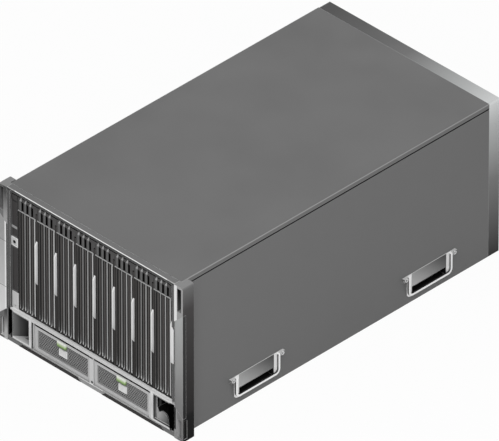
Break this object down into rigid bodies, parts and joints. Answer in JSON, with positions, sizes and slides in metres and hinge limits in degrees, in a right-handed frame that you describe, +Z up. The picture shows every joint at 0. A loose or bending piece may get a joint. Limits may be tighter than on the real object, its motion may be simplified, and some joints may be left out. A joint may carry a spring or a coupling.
{
  "type": "rack server",
  "caption": "Rack server with upright sliding modules on swing-out levers, front power supplies with green latches, rear fans and folding lifting handles in a deep grey chassis with rack ears",
  "frame": {"origin": "bottom centre of the whole server", "axes": "x to the right seen from the front, y from the front to the back, z up"},
  "size_m": [0.4826, 0.846, 0.346],
  "materials": {
    "body_grey": "fine satin powder coat",
    "frame_grey": "moulded, satin",
    "ear_grey": "moulded, satin",
    "grip_light": "moulded, soft gloss",
    "strip_grey": "moulded, satin",
    "window_dark": "smoked acrylic",
    "foot_light": "moulded, satin",
    "button_light": "moulded, soft gloss",
    "pocket_light": "moulded, satin",
    "bezel_dark": "moulded, satin, dark",
    "lever_white": "moulded, gloss",
    "tray_metal": "folded sheet with its circuit board",
    "guide_metal": "mill finish",
    "board_green": "glass-fibre board",
    "psu_frame": "satin",
    "grille_dark": "black perforated sheet",
    "latch_green": "moulded, touch green",
    "runner_dark": "moulded",
    "socket_metal": "pressed steel",
    "bail_steel": "satin",
    "fan_black": "moulded, black",
    "rear_silver": "brushed",
    "rear_panel_grey": "zinc grey",
    "cover_zinc": "bright zinc",
    "port_black": "moulded, black",
    "inlet_black": "moulded, black"
  },
  "bodies": {
    "chassis": {"base_pan": "body_grey", "left_side_panel": "body_grey", "right_side_panel": "body_grey", "top_cover": "body_grey", "front_frame": "frame_grey", "left_ear": "ear_grey", "right_ear": "ear_grey", "ear_grips": "grip_light", "operator_panel": "strip_grey", "panel_windows": "window_dark", "panel_foot": "foot_light", "corner_pockets": "pocket_light", "module_guides": "guide_metal", "midplane_board": "board_green", "psu_guides": "runner_dark", "handle_sockets": "socket_metal", "fan_frames": "fan_black", "rear_frame": "rear_silver", "rear_panel": "rear_panel_grey", "slot_covers": "cover_zinc", "port_block": "port_black", "power_inlets": "inlet_black"},
    "power_button": {"power_button": "button_light"},
    "module_1": {"module_1_bezel": "bezel_dark", "module_1_tray": "tray_metal"},
    "module_1_lever": {"module_1_lever": "lever_white"},
    "module_2": {"module_2_bezel": "bezel_dark", "module_2_tray": "tray_metal"},
    "module_2_lever": {"module_2_lever": "lever_white"},
    "module_3": {"module_3_bezel": "bezel_dark", "module_3_tray": "tray_metal"},
    "module_3_lever": {"module_3_lever": "lever_white"},
    "module_4": {"module_4_bezel": "bezel_dark", "module_4_tray": "tray_metal"},
    "module_4_lever": {"module_4_lever": "lever_white"},
    "module_5": {"module_5_bezel": "bezel_dark", "module_5_tray": "tray_metal"},
    "module_5_lever": {"module_5_lever": "lever_white"},
    "module_6": {"module_6_bezel": "bezel_dark", "module_6_tray": "tray_metal"},
    "module_6_lever": {"module_6_lever": "lever_white"},
    "module_7": {"module_7_bezel": "bezel_dark", "module_7_tray": "tray_metal"},
    "module_7_lever": {"module_7_lever": "lever_white"},
    "module_8": {"module_8_bezel": "bezel_dark", "module_8_tray": "tray_metal"},
    "module_8_lever": {"module_8_lever": "lever_white"},
    "psu_1": {"psu_1_case": "psu_frame", "psu_1_grille": "grille_dark"},
    "psu_1_latch": {"psu_1_latch": "latch_green"},
    "psu_2": {"psu_2_case": "psu_frame", "psu_2_grille": "grille_dark"},
    "psu_2_latch": {"psu_2_latch": "latch_green"},
    "right_front_handle": {"right_front_handle": "bail_steel"},
    "right_rear_handle": {"right_rear_handle": "bail_steel"},
    "left_front_handle": {"left_front_handle": "bail_steel"},
    "left_rear_handle": {"left_rear_handle": "bail_steel"},
    "fan_rotor_1": {"fan_rotor_1": "fan_black"},
    "fan_rotor_2": {"fan_rotor_2": "fan_black"},
    "fan_rotor_3": {"fan_rotor_3": "fan_black"}
  },
  "joints": [
    {"name": "power_button_press", "type": "slide", "parent": "chassis", "child": "power_button", "axis": [0, 1, 0], "range_m": [0, 0.0015], "stiffness_N_per_m": 400},
    {"name": "module_1_slide", "type": "slide", "parent": "chassis", "child": "module_1", "axis": [0, -1, 0], "range_m": [0, 0.44]},
    {"name": "module_1_lever_swing", "type": "hinge", "parent": "module_1", "child": "module_1_lever", "pos_m": [-0.1457, -0.4136, 0.3112], "axis": [-1, 0, 0], "range_deg": [0, 70]},
    {"name": "module_2_slide", "type": "slide", "parent": "chassis", "child": "module_2", "axis": [0, -1, 0], "range_m": [0, 0.44]},
    {"name": "module_2_lever_swing", "type": "hinge", "parent": "module_2", "child": "module_2_lever", "pos_m": [-0.0951, -0.4136, 0.3112], "axis": [-1, 0, 0], "range_deg": [0, 70]},
    {"name": "module_3_slide", "type": "slide", "parent": "chassis", "child": "module_3", "axis": [0, -1, 0], "range_m": [0, 0.44]},
    {"name": "module_3_lever_swing", "type": "hinge", "parent": "module_3", "child": "module_3_lever", "pos_m": [-0.0445, -0.4136, 0.3112], "axis": [-1, 0, 0], "range_deg": [0, 70]},
    {"name": "module_4_slide", "type": "slide", "parent": "chassis", "child": "module_4", "axis": [0, -1, 0], "range_m": [0, 0.44]},
    {"name": "module_4_lever_swing", "type": "hinge", "parent": "module_4", "child": "module_4_lever", "pos_m": [0.0061, -0.4136, 0.3112], "axis": [-1, 0, 0], "range_deg": [0, 70]},
    {"name": "module_5_slide", "type": "slide", "parent": "chassis", "child": "module_5", "axis": [0, -1, 0], "range_m": [0, 0.44]},
    {"name": "module_5_lever_swing", "type": "hinge", "parent": "module_5", "child": "module_5_lever", "pos_m": [0.0567, -0.4136, 0.3112], "axis": [-1, 0, 0], "range_deg": [0, 70]},
    {"name": "module_6_slide", "type": "slide", "parent": "chassis", "child": "module_6", "axis": [0, -1, 0], "range_m": [0, 0.44]},
    {"name": "module_6_lever_swing", "type": "hinge", "parent": "module_6", "child": "module_6_lever", "pos_m": [0.1073, -0.4136, 0.3112], "axis": [-1, 0, 0], "range_deg": [0, 70]},
    {"name": "module_7_slide", "type": "slide", "parent": "chassis", "child": "module_7", "axis": [0, -1, 0], "range_m": [0, 0.44]},
    {"name": "module_7_lever_swing", "type": "hinge", "parent": "module_7", "child": "module_7_lever", "pos_m": [0.1579, -0.4136, 0.3112], "axis": [-1, 0, 0], "range_deg": [0, 70]},
    {"name": "module_8_slide", "type": "slide", "parent": "chassis", "child": "module_8", "axis": [0, -1, 0], "range_m": [0, 0.44]},
    {"name": "module_8_lever_swing", "type": "hinge", "parent": "module_8", "child": "module_8_lever", "pos_m": [0.2085, -0.4136, 0.3112], "axis": [-1, 0, 0], "range_deg": [0, 70]},
    {"name": "psu_1_slide", "type": "slide", "parent": "chassis", "child": "psu_1", "axis": [0, -1, 0], "range_m": [0, 0.4]},
    {"name": "psu_1_latch_press", "type": "slide", "parent": "psu_1", "child": "psu_1_latch", "axis": [0, 0, -1], "range_m": [0, 0.003], "stiffness_N_per_m": 600},
    {"name": "psu_2_slide", "type": "slide", "parent": "chassis", "child": "psu_2", "axis": [0, -1, 0], "range_m": [0, 0.4]},
    {"name": "psu_2_latch_press", "type": "slide", "parent": "psu_2", "child": "psu_2_latch", "axis": [0, 0, -1], "range_m": [0, 0.003], "stiffness_N_per_m": 600},
    {"name": "right_front_handle_swing", "type": "hinge", "parent": "chassis", "child": "right_front_handle", "pos_m": [0.2277, -0.216, 0.06], "axis": [0, -1, 0], "range_deg": [0, 90]},
    {"name": "right_rear_handle_swing", "type": "hinge", "parent": "chassis", "child": "right_rear_handle", "pos_m": [0.2277, 0.2365, 0.06], "axis": [0, -1, 0], "range_deg": [0, 90]},
    {"name": "left_front_handle_swing", "type": "hinge", "parent": "chassis", "child": "left_front_handle", "pos_m": [-0.2277, -0.216, 0.06], "axis": [0, 1, 0], "range_deg": [0, 90]},
    {"name": "left_rear_handle_swing", "type": "hinge", "parent": "chassis", "child": "left_rear_handle", "pos_m": [-0.2277, 0.2365, 0.06], "axis": [0, 1, 0], "range_deg": [0, 90]},
    {"name": "fan_rotor_1_spin", "type": "hinge", "parent": "chassis", "child": "fan_rotor_1", "pos_m": [-0.14, 0.3907, 0.262], "axis": [0, 1, 0], "continuous": true},
    {"name": "fan_rotor_2_spin", "type": "hinge", "parent": "chassis", "child": "fan_rotor_2", "pos_m": [0, 0.3907, 0.262], "axis": [0, 1, 0], "continuous": true},
    {"name": "fan_rotor_3_spin", "type": "hinge", "parent": "chassis", "child": "fan_rotor_3", "pos_m": [0.14, 0.3907, 0.262], "axis": [0, 1, 0], "continuous": true}
  ]
}
